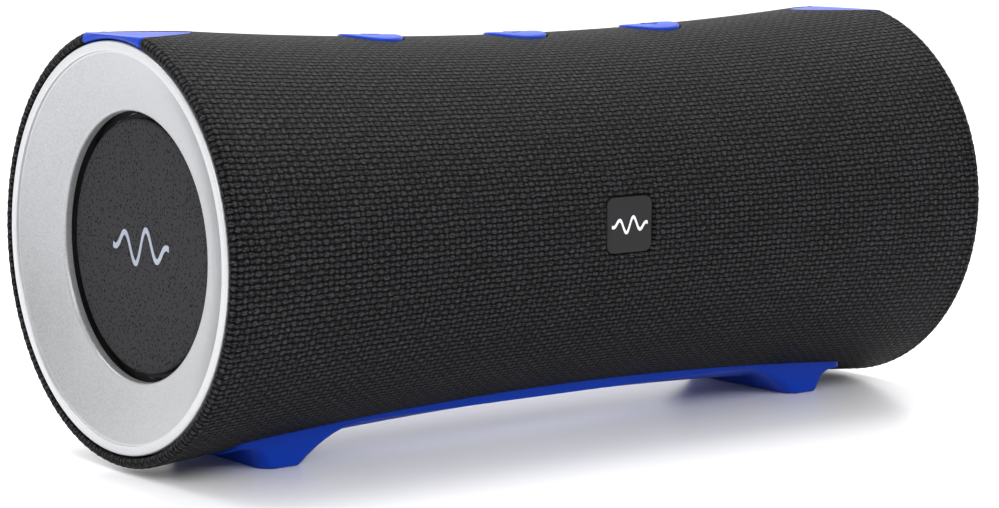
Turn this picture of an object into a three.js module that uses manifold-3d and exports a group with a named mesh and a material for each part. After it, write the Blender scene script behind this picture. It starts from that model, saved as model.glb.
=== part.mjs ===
// A portable cylindrical speaker lying on two low feet: a woven sleeve over a moulded
// housing, two forward drivers, a passive radiator in each end, a blue base and top keys.
// Millimetres, +Z up, +X along the cylinder, -Y is the front, origin on the ground below
// the middle of the cylinder.
import * as THREE from "three";
import { mergeVertices } from "three/addons/utils/BufferGeometryUtils.js";
import Module from "manifold-3d";

const wasm = await Module();
wasm.setup();

// ---- Driving dimensions ----
const LENGTH = 220.6; // over both end rims
const WAIST_RADIUS = 43; // fabric surface at mid-length
const FLARE = 4.9; // the ends are this much larger in radius than the waist
const AXIS_HEIGHT = 48.8; // cylinder axis above the ground
const LIP_RADIUS = 1.7; // roll of the fabric over each end rim
const SLEEVE_WALL = 1.4;
const GAP = 0.3; // between pieces that touch
const HOUSING_WALL = 2.5;
const BITE = 0.5; // how far two joined shapes run into each other

const RING_RADIUS = 45; // end ring, outside
const RING_LIP = 2.2; // width of the ring's flat outer band
const OPENING_RADIUS = 29.6; // hole in the end ring
const DISH_DEPTH = 5; // the ring's dish, from its band to the hole
const DISC_RADIUS = 28; // radiator cap
const DISC_SINK = 2; // the cap lies this much behind the hole's edge

const BAFFLE_Y = -24.6; // back of the flat front baffle
const BAFFLE_WALL = 2.5;
const DRIVER_X = 55;
const DRIVER_RADIUS = 27.5; // flange
const CONE_RADIUS = 19.5;

const BASE_LENGTH = 182;
const BASE_WIDTH = 38.4;
const BASE_PROUD = 0.6; // base strip below the fabric surface
const FOOT_X = 79.3;
const FOOT_LENGTH = 9.8; // along X, at the ground
const FOOT_WIDTH = 37.6; // along Y, at the ground
const PAD_HEIGHT = 0.7;

const KEY_PITCH = 42;
const KEY_RADIUS = 7.5;
const KEY_CLEARANCE = 0.35;
const KEY_PROUD = 0.5;
const TAB_FLAT = 46.4; // the tab's flat top above the axis
const TAB_DEPTH = 2.6; // underside of the tab below the fabric surface

const BADGE_SIZE = [13.4, 12.8];
const BADGE_Z = 1.6; // above the axis
const BADGE_FACE_Y = -42.5;
const BADGE_CORNER = 2;

const PANEL_SIZE = [92, 25];
const PANEL_CORNER = 6;
const BAY_X = 20; // middle of the socket bay
const BAY_SIZE = [40, 11];
const BAY_CORNER = 2.2;
const BAY_WALL = 1.5;
const BAY_FLOOR_Y = 34.5;
const FLAP_SIZE = [46, 17];
const FLAP_CORNER = 3;
const FLAP_WALL = 1.3;
const BUTTON_RADIUS = 5.2;
const POWER_X = -33;
const PAIR_X = -17;
const LIGHT_X = -25;

const SEGMENTS = 28; // facets round the cylinder
const INNER_SEGMENTS = 16; // facets round the smaller and hidden pieces
const STATIONS = 6; // facets along the cylinder

// ---- Materials ----
const paint = (color, roughness, metalness = 0) =>
  new THREE.MeshStandardMaterial({ color, roughness, metalness });
const FABRIC = paint(0x202022, 0.95);
const BLUE = paint(0x0a32b4, 0.5);
const SILVER = paint(0xc4c6c9, 0.4, 0.6);
const BLACK = paint(0x18181a, 0.6);
const DARK = paint(0x3c3d40, 0.7);
const RUBBER = paint(0x101011, 0.8);
const STEEL = paint(0x9a9da1, 0.35, 0.9);
const GREEN = paint(0x175231, 0.5);
const CELL = paint(0x3b6fb5, 0.5);
const LENS = paint(0xe8eef2, 0.2);

// ---- Geometry helpers ----
function solid(geometry) {
  const bare = geometry.clone();
  bare.deleteAttribute("normal");
  bare.deleteAttribute("uv");
  const merged = mergeVertices(bare, 1e-4);
  return new wasm.Manifold(
    new wasm.Mesh({
      numProp: 3,
      vertProperties: new Float32Array(merged.attributes.position.array),
      triVerts: new Uint32Array(merged.index.array),
    }),
  );
}

function geometryOf(body) {
  const mesh = body.getMesh();
  const geometry = new THREE.BufferGeometry();
  geometry.setAttribute("position", new THREE.BufferAttribute(mesh.vertProperties, 3));
  geometry.setIndex(new THREE.BufferAttribute(mesh.triVerts, 1));
  return geometry;
}

const combine = (how) => (first, ...others) =>
  geometryOf(others.reduce((body, other) => body[how](solid(other)), solid(first)));
const cut = combine("subtract");
const join = combine("add");
const common = combine("intersect");

// Profiles are [along, radius] pairs listed so that the solid lies on their right.
function turned(profile, segments = SEGMENTS) {
  const points = profile.map(([along, radius]) => new THREE.Vector2(radius, along));
  return new THREE.LatheGeometry(points, segments);
}
const closed = (profile) => [...profile, profile[0]];
const alongX = (geometry) => geometry.rotateZ(-Math.PI / 2);
const alongZ = (geometry) => geometry.rotateX(Math.PI / 2);

function roundedShape([width, height], radius, [x, y] = [0, 0]) {
  const shape = new THREE.Shape();
  const [a, b] = [width / 2, height / 2];
  shape.absarc(x + a - radius, y - b + radius, radius, -Math.PI / 2, 0);
  shape.absarc(x + a - radius, y + b - radius, radius, 0, Math.PI / 2);
  shape.absarc(x - a + radius, y + b - radius, radius, Math.PI / 2, Math.PI);
  shape.absarc(x - a + radius, y - b + radius, radius, Math.PI, 1.5 * Math.PI);
  return shape;
}

const extrude = (shape, depth, curveSegments) =>
  new THREE.ExtrudeGeometry(shape, { depth, curveSegments, bevelEnabled: false });
// A plan outline (x, y) between two heights.
const upright = (shape, z0, z1, curveSegments = 3) =>
  extrude(shape, z1 - z0, curveSegments).translate(0, 0, z0);
// A front outline (x, z) between two depths.
const fronted = (shape, y0, y1, curveSegments = 3) =>
  extrude(shape, y1 - y0, curveSegments).rotateX(Math.PI / 2).translate(0, y1, 0);
// An end outline (y, z) between two stations.
const ended = (shape, x0, x1, curveSegments = 3) =>
  extrude(shape, x1 - x0, curveSegments)
    .rotateX(Math.PI / 2)
    .rotateZ(Math.PI / 2)
    .translate(x0, 0, 0);

const block = ([x0, x1], [y0, y1], [z0, z1]) =>
  new THREE.BoxGeometry(x1 - x0, y1 - y0, z1 - z0).translate(
    (x0 + x1) / 2,
    (y0 + y1) / 2,
    (z0 + z1) / 2,
  );

function rod(radius, [from, to], axis, [u, v] = [0, 0], segments = 16) {
  const geometry = new THREE.CylinderGeometry(radius, radius, to - from, segments);
  const middle = (from + to) / 2;
  if (axis === "x") return geometry.rotateZ(Math.PI / 2).translate(middle, u, v);
  if (axis === "y") return geometry.translate(u, middle, v);
  return geometry.rotateX(Math.PI / 2).translate(u, v, middle);
}

// ---- The waisted body surface ----
const FAR = 200; // larger than any piece, for cutting
const HALF = LENGTH / 2;
const RIM_X = HALF - LIP_RADIUS; // where the fabric starts to roll over the end
const radiusAt = (x) => WAIST_RADIUS + FLARE * (x / RIM_X) ** 2;

function skin(offset, from, to) {
  const points = [];
  for (let i = 0; i <= STATIONS; i++) {
    const x = from + ((to - from) * i) / STATIONS;
    points.push([x, radiusAt(x) + offset]);
  }
  return points;
}
// Everything between two surfaces parallel to the body surface.
const shell = (inner, outer, half) =>
  alongX(turned(closed([...skin(outer, -half, half), ...skin(inner, half, -half)])));
const core = (outer, half) =>
  alongX(turned([[-half, 0], ...skin(outer, -half, half), [half, 0]]));

const HOUSING_OUT = -SLEEVE_WALL - GAP;
const HOUSING_IN = HOUSING_OUT - HOUSING_WALL;
const HOUSING_HALF = 104;

const root = new THREE.Group();
const assembly = new THREE.Group(); // its origin is the middle of the cylinder
assembly.position.z = AXIS_HEIGHT;
root.add(assembly);

function add(name, geometry, material) {
  const mesh = new THREE.Mesh(geometry, material);
  mesh.name = name;
  assembly.add(mesh);
  return mesh;
}

const SIDES = [
  ["left", -1],
  ["right", 1],
];
// The same piece at either end: the left one is the right one turned about Z.
const atSide = (geometry, side) => (side < 0 ? geometry.rotateZ(Math.PI) : geometry);
const KEYS = [
  ["volume_down_key", -KEY_PITCH],
  ["play_key", 0],
  ["volume_up_key", KEY_PITCH],
];

// ---- Outlines that both a piece and the hole for it use ----
const grown = ([a, b], by) => [a + 2 * by, b + 2 * by];
const TOP = 30; // above this height over the axis only the top of the body is left
const keyPlug = (x, by) => rod(KEY_RADIUS + by, [TOP, FAR], "z", [x, 0], 24);

// A tab is where a level plane shaves the flared end of the body.
const TAB_TIP = RIM_X * Math.sqrt((TAB_FLAT - WAIST_RADIUS) / FLARE);
const TAB_STATIONS = 6;
function tabOutline(by) {
  const reach = (x) => Math.sqrt(Math.max(radiusAt(x) ** 2 - TAB_FLAT ** 2, 0)) + by;
  const edge = [];
  for (let i = 1; i <= TAB_STATIONS; i++) {
    const x = TAB_TIP + (RIM_X - TAB_TIP) * (i / TAB_STATIONS) ** 2;
    edge.push(new THREE.Vector2(x, reach(x)));
  }
  edge.push(new THREE.Vector2(HALF + 1, reach(RIM_X)));
  const other = edge.map((p) => new THREE.Vector2(p.x, -p.y)).reverse();
  return new THREE.Shape([...edge, ...other, new THREE.Vector2(TAB_TIP - by, 0)]);
}
const tabPlug = (side, by) => atSide(upright(tabOutline(by), TOP, FAR), side);

const BASE_CORNER = 2;
const basePlug = (by) =>
  upright(roundedShape(grown([BASE_LENGTH, BASE_WIDTH], by), BASE_CORNER + by), -FAR, -TOP);
const badgePlug = (by, back, face) =>
  fronted(roundedShape(grown(BADGE_SIZE, by), BADGE_CORNER + by, [0, BADGE_Z]), face, back);
const panelPlug = (by) =>
  fronted(roundedShape(grown(PANEL_SIZE, by), PANEL_CORNER + by), TOP, FAR);
const flapPlug = (by) =>
  fronted(roundedShape(grown(FLAP_SIZE, by), FLAP_CORNER + by, [BAY_X, 0]), TOP, FAR);

// ---- Sleeve ----
// The rolled end section, from the body surface over the rim to the end ring.
const SEAT_OUT = 0.4; // the ring's seat starts this far inside the end
const SEAT_IN = 4.4;
const SLEEVE_END = 4.8; // the flat inside of the sleeve stops this far from the end
function lipProfile() {
  const seat = RING_RADIUS + GAP;
  const points = [];
  for (let i = 1; i <= 2; i++) {
    const angle = (i * Math.PI) / 4;
    points.push([
      RIM_X + LIP_RADIUS * Math.sin(angle),
      radiusAt(RIM_X) - LIP_RADIUS * (1 - Math.cos(angle)),
    ]);
  }
  points.push([HALF - SEAT_OUT, seat]);
  points.push([HALF - SEAT_IN, seat]);
  return points;
}
const mirrored = (profile) => profile.map(([x, r]) => [-x, r]).reverse();

function sleeveShell() {
  const inside = skin(-SLEEVE_WALL, HALF - SLEEVE_END, SLEEVE_END - HALF);
  return alongX(
    turned(
      closed([
        ...mirrored(lipProfile()),
        ...skin(0, -RIM_X, RIM_X),
        ...lipProfile(),
        ...inside,
      ]),
    ),
  );
}

add(
  "fabric_sleeve",
  cut(
    sleeveShell(),
    ...KEYS.map(([, x]) => keyPlug(x, KEY_CLEARANCE)),
    ...SIDES.map(([, side]) => tabPlug(side, GAP)),
    basePlug(GAP),
    badgePlug(GAP, -TOP, -FAR),
    panelPlug(GAP),
  ),
  FABRIC,
);

// ---- Housing ----
const BULKHEAD = [95.5, 98.7]; // the flange that carries each radiator
const SCREW_RADIUS = 40; // circle of the radiator screws
const SCREW_ANGLES = [90, 210, 330];
const screwAt = (degrees) => {
  const angle = THREE.MathUtils.degToRad(degrees);
  return [SCREW_RADIUS * Math.cos(angle), SCREW_RADIUS * Math.sin(angle)];
};
const SCREW_HOLE = 1.2;
const screwHoles = (from, to) =>
  SCREW_ANGLES.map((angle) => rod(SCREW_HOLE, [from, to], "x", screwAt(angle), 8));
const BOARD_TOP = 35.2; // key board above the axis
const POST_X = [-21, 21];
const POST_RADIUS = 2.6;
const BASE_SCREW_X = FOOT_X;
const BASE_SCREW_HEAD = -45; // ceiling of the recess for the screw head
const BASE_SCREW_BOSS = 1.6; // hole in the housing for the screw's shank
const FLANGE_EDGE = 36.5; // inner edge of the bulkhead

function bulkhead(side) {
  const [near, far] = BULKHEAD;
  const outer = radiusAt(near) + HOUSING_IN + BITE;
  const flange = alongX(
    turned(
      closed([
        [near, outer],
        [far, outer],
        [far, FLANGE_EDGE],
        [near, FLANGE_EDGE],
      ]),
    ),
  );
  const grilleRoom = common(
    shell(HOUSING_IN - GAP, HOUSING_OUT, HOUSING_HALF),
    block([-FAR, FAR], [-FAR, BAFFLE_Y + GAP], [-FAR, FAR]),
  );
  return cut(atSide(cut(flange, ...screwHoles(near - 1, far + 1)), side), grilleRoom);
}

const PANEL_LEDGE = 1; // the housing reaches this far under the rear panel's edge
const LEDGE_WALL = 3;
const LEDGE_Z = 29.5; // the baffle rests on ledges beyond this height

function rearHousing() {
  const open = BAFFLE_Y + GAP;
  const pocket = shell(-TAB_DEPTH - GAP, FLARE, RIM_X);
  const tube = cut(
    shell(HOUSING_IN, HOUSING_OUT, HOUSING_HALF),
    block([-FAR, FAR], [-FAR, open], [-FAR, FAR]),
    ...KEYS.map(([, x]) => keyPlug(x, KEY_CLEARANCE)),
    ...SIDES.map(([, side]) => common(tabPlug(side, GAP), pocket)),
    panelPlug(-PANEL_LEDGE),
    ...SIDES.map(([, side]) =>
      rod(BASE_SCREW_BOSS, [-FAR, -TOP], "z", [side * BASE_SCREW_X, 0], 10),
    ),
  );
  const inside = core(HOUSING_IN + BITE, BULKHEAD[0] + BITE);
  const ledges = [-1, 1].map((s) =>
    common(
      inside,
      block([-FAR, FAR], [open, open + LEDGE_WALL], s < 0 ? [-FAR, -LEDGE_Z] : [LEDGE_Z, FAR]),
    ),
  );
  const roof = WAIST_RADIUS + HOUSING_IN + BITE;
  const posts = POST_X.map((x) => rod(POST_RADIUS, [BOARD_TOP + GAP, roof], "z", [x, 0], 12));
  return join(tube, ...SIDES.map(([, side]) => bulkhead(side)), ...ledges, ...posts);
}
add("rear_housing", rearHousing(), BLACK);

const SLOT_HEIGHTS = [-16, -8, 0, 8, 16];
const SLOT_HALF = 2.2;
const SLOT_FIELD = 24; // radius of the slotted field
const slotReach = (z) => Math.sqrt(SLOT_FIELD ** 2 - z ** 2);
add(
  "front_grille",
  cut(
    shell(HOUSING_IN, HOUSING_OUT, HOUSING_HALF),
    block([-FAR, FAR], [BAFFLE_Y - GAP, FAR], [-FAR, FAR]),
    ...SIDES.flatMap(([, side]) =>
      SLOT_HEIGHTS.map((z) => {
        const [x, reach] = [side * DRIVER_X, slotReach(z)];
        return block([x - reach, x + reach], [-FAR, -TOP], [z - SLOT_HALF, z + SLOT_HALF]);
      }),
    ),
  ),
  BLACK,
);

const baffleFront = BAFFLE_Y - BAFFLE_WALL;
const DRIVER_HOLE = 25.6;
add(
  "front_baffle",
  cut(
    common(
      core(HOUSING_IN - GAP, BULKHEAD[0] - GAP),
      block([-FAR, FAR], [baffleFront, BAFFLE_Y], [-FAR, FAR]),
    ),
    ...SIDES.map(([, side]) => rod(DRIVER_HOLE, [-FAR, 0], "y", [side * DRIVER_X, 0], INNER_SEGMENTS)),
  ),
  BLACK,
);

// ---- Drivers, facing the front ----
const SURROUND_WIDTH = 4.9;
const COIL_RADIUS = 9.6;
// Profiles here are [depth, radius]: depth 0 is the front of the baffle and grows backwards.
const atDriver = (geometry, side) =>
  geometry.translate(side * DRIVER_X, baffleFront, 0);

function driverBasket() {
  const rim = 25.2;
  return turned(
    closed([
      [-1.9, DRIVER_RADIUS],
      [-GAP, DRIVER_RADIUS],
      [-GAP, rim],
      [4, rim],
      [17.6, 17],
      [17.6, 12],
      [16.4, 12],
      [16.2, 15.6],
      [3.4, 23.8],
      [-1.9, rim + 0.2],
    ]),
    INNER_SEGMENTS,
  );
}

function driverSurround() {
  const outer = 24.5;
  const inner = outer - SURROUND_WIDTH;
  const middle = (outer + inner) / 2;
  const roll = (radius, count) => {
    const points = [];
    for (let i = 0; i <= count; i++) {
      const angle = (Math.PI * i) / count;
      points.push([-0.2 - radius * Math.sin(angle), middle + radius * Math.cos(angle)]);
    }
    return points;
  };
  const out = roll(SURROUND_WIDTH / 2, 4);
  return turned(
    closed([...out.reverse(), ...roll(SURROUND_WIDTH / 2 - 0.7, 4)]),
    INNER_SEGMENTS,
  );
}

function driverCone() {
  const edge = CONE_RADIUS - 0.3;
  return turned(
    [
      [4, 0],
      [4.8, 5],
      [6.8, COIL_RADIUS - 0.8],
      [-0.4, edge - 0.4],
      [-0.4, edge],
      [7.8, COIL_RADIUS],
      [19.5, COIL_RADIUS],
      [19.5, COIL_RADIUS - 0.7],
      [8, COIL_RADIUS - 0.7],
      [5.8, 5],
      [5, 0],
    ],
    INNER_SEGMENTS,
  );
}

function driverMagnet() {
  const gapIn = COIL_RADIUS - 1.2;
  const gapOut = COIL_RADIUS + 0.6;
  return turned(
    [
      [11.6, 0],
      [11.6, gapIn],
      [24, gapIn],
      [24, gapOut],
      [18, gapOut],
      [18, 16.5],
      [29, 16.5],
      [29, 0],
    ],
    INNER_SEGMENTS,
  );
}

for (const [where, side] of SIDES) {
  add(`driver_basket_${where}`, atDriver(driverBasket(), side), STEEL);
  add(`driver_surround_${where}`, atDriver(driverSurround(), side), RUBBER);
  add(`driver_cone_${where}`, atDriver(driverCone(), side), DARK);
  add(`driver_magnet_${where}`, atDriver(driverMagnet(), side), STEEL);
}

// ---- Ends: ring, radiator and its frame ----
const OPENING_X = HALF - DISH_DEPTH;
const CAP_X = OPENING_X - DISC_SINK;

function endRing() {
  const band = RING_RADIUS - RING_LIP;
  return alongX(
    turned(
      closed([
        [HALF - 3.9, RING_RADIUS],
        [HALF - 0.5, RING_RADIUS],
        [HALF, RING_RADIUS - 0.6],
        [HALF - 0.2, band],
        [HALF - 0.6, band - 0.3],
        [OPENING_X, OPENING_RADIUS],
        [OPENING_X - 1.9, OPENING_RADIUS],
        [OPENING_X - 1.9, OPENING_RADIUS + 1.4],
        [HALF - 3.9, 42],
      ]),
      SEGMENTS,
    ),
  );
}

function radiatorCap() {
  return alongX(
    turned([
      [CAP_X - 2, 0],
      [CAP_X - 2, DISC_RADIUS],
      [CAP_X - 0.5, DISC_RADIUS],
      [CAP_X, DISC_RADIUS - 0.5],
      [CAP_X, 0],
    ]),
  );
}

const PLATE_RADIUS = 29.2;
const PLATE_X = CAP_X - 2 - GAP;
function radiatorPlate() {
  return alongX(
    turned([
      [PLATE_X - 2.6, 0],
      [PLATE_X - 2.6, PLATE_RADIUS],
      [PLATE_X, PLATE_RADIUS],
      [PLATE_X, 0],
    ]),
  );
}

const FLANGE_X = 99; // back of the surround's flanges
const FLANGE = 1.1;
function radiatorSurround() {
  const inner = PLATE_RADIUS + GAP;
  const start = inner + 1;
  const end = 35.8;
  const middle = (start + end) / 2;
  const roll = (radius, x, count) => {
    const points = [];
    for (let i = 0; i <= count; i++) {
      const angle = (Math.PI * i) / count;
      points.push([x - radius * Math.sin(angle), middle - radius * Math.cos(angle)]);
    }
    return points;
  };
  const half = (end - start) / 2;
  return alongX(
    turned(
      closed([
        [FLANGE_X + FLANGE, 38.4],
        ...roll(half - 0.8, FLANGE_X + FLANGE, 3).reverse(),
        [FLANGE_X + FLANGE, inner],
        [FLANGE_X, inner],
        ...roll(half, FLANGE_X, 3),
        [FLANGE_X, 38.4],
      ]),
    ),
  );
}

const FRAME_FRONT = 103;
function radiatorFrame() {
  const front = FRAME_FRONT;
  const ring = alongX(
    turned(
      closed([
        [front, 41.5],
        [front, 35.6],
        [FLANGE_X + FLANGE + GAP, 35.6],
        [FLANGE_X + FLANGE + GAP, 38.7],
        [FLANGE_X, 38.7],
        [FLANGE_X, 41.5],
      ]),
    ),
  );
  return cut(ring, ...screwHoles(FLANGE_X - 1, front + 1));
}

function radiatorScrew(degrees) {
  const head = FRAME_FRONT + GAP;
  const [u, v] = screwAt(degrees);
  return alongX(
    turned(
      [
        [96, 0],
        [96, 0.9],
        [head, 0.9],
        [head, 1.3],
        [head + 1, 1.3],
        [head + 1, 0],
      ],
      8,
    ),
  ).translate(0, u, v);
}

for (const [where, side] of SIDES) {
  add(`end_ring_${where}`, atSide(endRing(), side), SILVER);
  add(`radiator_cap_${where}`, atSide(radiatorCap(), side), DARK);
  add(`radiator_plate_${where}`, atSide(radiatorPlate(), side), STEEL);
  add(`radiator_surround_${where}`, atSide(radiatorSurround(), side), RUBBER);
  add(`radiator_frame_${where}`, atSide(radiatorFrame(), side), BLACK);
  SCREW_ANGLES.forEach((angle, i) =>
    add(`radiator_screw_${where}_${i + 1}`, atSide(radiatorScrew(angle), side), STEEL),
  );
}

// ---- Base with its two feet ----
const FOOT_BOTTOM = PAD_HEIGHT + GAP - AXIS_HEIGHT;
const STRIP_LOWEST = 1.5 - AXIS_HEIGHT;
const FLARE_TOP = -41; // where the foot's inner flare runs out under the strip
const FLARE_LENGTH = 24.4;
const TIP_UNDER = -43.5; // underside of the base's end tip

function footBlock(side) {
  const [inner, outer] = [FOOT_X - FOOT_LENGTH / 2, FOOT_X + FOOT_LENGTH / 2];
  const tip = BASE_LENGTH / 2;
  const profile = new THREE.Shape();
  profile.moveTo(outer, FOOT_BOTTOM);
  profile.quadraticCurveTo(outer - 0.2, TIP_UNDER - 0.7, tip, TIP_UNDER);
  profile.lineTo(tip, -TOP);
  profile.lineTo(inner - FLARE_LENGTH, -TOP);
  profile.lineTo(inner - FLARE_LENGTH, FLARE_TOP);
  profile.quadraticCurveTo(inner - FLARE_LENGTH / 3, FLARE_TOP - 0.2, inner, FOOT_BOTTOM);
  const [foot, full] = [FOOT_WIDTH / 2, BASE_WIDTH / 2];
  const across = new THREE.Shape();
  across.moveTo(-foot, FOOT_BOTTOM);
  across.lineTo(foot, FOOT_BOTTOM);
  across.lineTo(full, TIP_UNDER);
  across.lineTo(full, -TOP);
  across.lineTo(-full, -TOP);
  across.lineTo(-full, TIP_UNDER);
  const blocks = common(fronted(profile, -FAR, FAR, 5), ended(across, 0, FAR), basePlug(0));
  return atSide(blocks, side);
}

const BASE_SCREW_HOLE = 1.3;
const BASE_SCREW_RECESS = 2.8;
function base() {
  const strip = common(
    shell(-SLEEVE_WALL, BASE_PROUD, BASE_LENGTH / 2),
    cut(basePlug(0), block([-FAR, FAR], [-FAR, FAR], [-2 * FAR, STRIP_LOWEST])),
  );
  const feet = SIDES.map(([, side]) => cut(footBlock(side), core(-SLEEVE_WALL, HOUSING_HALF)));
  const holes = SIDES.flatMap(([, side]) => [
    rod(BASE_SCREW_HOLE, [-FAR, -TOP], "z", [side * BASE_SCREW_X, 0], 10),
    rod(BASE_SCREW_RECESS, [-FAR, BASE_SCREW_HEAD], "z", [side * BASE_SCREW_X, 0], 12),
  ]);
  return cut(join(strip, ...feet), ...holes);
}
add("base", base(), BLUE);

for (const [where, side] of SIDES) {
  const outline = roundedShape(grown([FOOT_LENGTH, FOOT_WIDTH], -GAP), 2.5, [side * FOOT_X, 0]);
  add(
    `foot_pad_${where}`,
    upright(outline, -AXIS_HEIGHT, PAD_HEIGHT - AXIS_HEIGHT, 5),
    BLUE,
  );
  const screw = alongZ(
    turned(
      [
        [BASE_SCREW_HEAD - 1.6, 0],
        [BASE_SCREW_HEAD - 1.6, 2.4],
        [BASE_SCREW_HEAD - GAP, 2.4],
        [BASE_SCREW_HEAD - GAP, 1],
        [BASE_SCREW_HEAD + 7.5, 1],
        [BASE_SCREW_HEAD + 7.5, 0],
      ],
      12,
    ),
  ).translate(side * BASE_SCREW_X, 0, 0);
  add(`base_screw_${where}`, screw, STEEL);
}

// ---- Top: end tabs, keys and the key board ----
function endTab(side) {
  const from = TAB_TIP - 1;
  const wall = alongX(
    turned(
      closed([
        ...skin(0, from, RIM_X),
        ...lipProfile(),
        ...skin(-TAB_DEPTH, HALF - SLEEVE_END, from),
      ]),
    ),
  );
  return cut(
    common(atSide(wall, side), tabPlug(side, 0)),
    block([-FAR, FAR], [-FAR, FAR], [TAB_FLAT, FAR]),
  );
}
for (const [where, side] of SIDES) add(`top_tab_${where}`, endTab(side), BLUE);

const KEY_DEPTH = 4.4; // from the key's face to its underside
const STEM_RADIUS = 2.4;
const STEM_END = 38.9;
const SWITCH = [-3, 3]; // footprint of a small switch, each way from its middle
const SWITCH_GAP = 1.1; // the key's travel and its clearance
for (const [name, x] of KEYS) {
  const cap = common(shell(KEY_PROUD - KEY_DEPTH, KEY_PROUD, RIM_X), keyPlug(x, 0));
  add(name, join(cap, rod(STEM_RADIUS, [STEM_END, 41], "z", [x, 0], 12)), BLUE);
}

add(
  "key_board",
  join(
    block([-54, 54], [-8, 8], [BOARD_TOP - 1.6, BOARD_TOP]),
    ...KEYS.map(([, x]) =>
      block(SWITCH.map((v) => v + x), SWITCH, [BOARD_TOP - BITE, STEM_END - SWITCH_GAP]),
    ),
  ),
  GREEN,
);

// ---- Front badge ----
add("front_badge", badgePlug(0, BADGE_FACE_Y + 0.85, BADGE_FACE_Y), DARK);

// ---- Rear panel with the socket bay, flap, buttons and light ----
const BUTTONS = [
  ["power_button", POWER_X],
  ["pairing_button", PAIR_X],
];
const SOCKETS = { charge: BAY_X - 8, aux: BAY_X + 9 };
const chargeShape = (by) => roundedShape(grown([9, 3.2], by), 1.5 + by, [SOCKETS.charge, 0]);

const PANEL_BACK = 41.8; // inside the panel's wall, where its bay and necks join it
const NECK_Y = 37.5;
const LIGHT_RADIUS = 1.3;
const AUX_RADIUS = 3;

function portPanel() {
  const face = common(shell(-SLEEVE_WALL, 0, RIM_X), panelPlug(0));
  const [w, h] = BAY_SIZE;
  const walls = roundedShape(grown([w, h], BAY_WALL), BAY_CORNER + 1, [BAY_X, 0]);
  const bay = fronted(walls, BAY_FLOOR_Y - BAY_WALL, PANEL_BACK);
  const hollow = fronted(roundedShape([w, h], BAY_CORNER, [BAY_X, 0]), BAY_FLOOR_Y, FAR);
  const neck = rod(BUTTON_RADIUS + 1.4, [NECK_Y, PANEL_BACK], "y");
  const necks = BUTTONS.map(([, x]) => neck.clone().translate(x, 0, 0));
  return cut(
    join(face, bay, ...necks),
    common(shell(-FLAP_WALL - 0.05, FAR, RIM_X), flapPlug(GAP)),
    hollow,
    ...BUTTONS.map(([, x]) => rod(BUTTON_RADIUS + GAP, [TOP, FAR], "y", [x, 0])),
    rod(LIGHT_RADIUS + GAP, [TOP, FAR], "y", [LIGHT_X, 0], 12),
    fronted(chargeShape(GAP), TOP, FAR),
    rod(AUX_RADIUS + GAP, [TOP, FAR], "y", [SOCKETS.aux, 0], 16),
  );
}
add("port_panel", portPanel(), BLACK);
add("port_cover", common(shell(-FLAP_WALL + 0.3, 0.3, RIM_X), flapPlug(0)), RUBBER);

for (const [name, x] of BUTTONS) {
  const button = turned(
    [
      [35.4, 0],
      [35.4, BUTTON_RADIUS - 1.6],
      [38.6, BUTTON_RADIUS],
      [42.5, BUTTON_RADIUS],
      [43.1, BUTTON_RADIUS - 0.7],
      [43.2, 0],
    ],
    16,
  );
  add(name, button.translate(x, 0, 0), RUBBER);
}
add("status_light", rod(LIGHT_RADIUS, [39.8, 42.8], "y", [LIGHT_X, 0], 12), LENS);

const BOARD_Y = [29, 30.6];
add(
  "main_board",
  join(
    block([-46, 46], BOARD_Y, [-10, 14]),
    ...BUTTONS.map(([, x]) => block(SWITCH.map((v) => v + x), [30, 34.2], SWITCH)),
    block([-12, 4], [26.6, 29.5], [-6, 8]),
    block([12, 24], [27.2, 29.5], [-4, 8]),
  ),
  GREEN,
);
add(
  "charge_socket",
  cut(
    fronted(chargeShape(0), BOARD_Y[1] + GAP, BAY_FLOOR_Y + 0.6),
    fronted(chargeShape(-0.5), 32, FAR),
  ),
  STEEL,
);
add(
  "aux_socket",
  cut(
    rod(AUX_RADIUS, [BOARD_Y[1] + GAP, BAY_FLOOR_Y + 0.6], "y", [SOCKETS.aux, 0], 16),
    rod(1.8, [32, FAR], "y", [SOCKETS.aux, 0], 12),
  ),
  BLACK,
);

// ---- Battery ----
const CELLS = [
  [-1.5, -28.2],
  [17.4, -22.8],
];
const CELL_RADIUS = 9.2;
const CELL_HALF = 32.5;
CELLS.forEach(([y, z], i) =>
  add(`battery_cell_${i + 1}`, rod(CELL_RADIUS, [-CELL_HALF, CELL_HALF], "x", [y, z]), CELL),
);
function batteryTray() {
  const half = CELL_HALF + 3;
  const trough = common(
    core(HOUSING_IN - GAP, half),
    block([-half, half], [-12, 28], [-38, -25]),
  );
  const beds = CELLS.map(([y, z]) =>
    rod(CELL_RADIUS + GAP, [-CELL_HALF - GAP, CELL_HALF + GAP], "x", [y, z]),
  );
  return cut(trough, ...beds);
}
add("battery_tray", batteryTray(), BLACK);

export default root;
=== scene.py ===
"""Looks for a portable cylindrical speaker: woven sleeve, silver ends, blue trim, rear panel.

Shapes are drawn in millimetres about the cylinder's axis, with X along it, -Y to the front
and +Z up, and in_frame() places them. Every size that two pieces share is a name here.
"""

import math

import bpy
import numpy as np
from mathutils import Matrix, Vector
from mathutils.geometry import delaunay_2d_cdt


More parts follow.
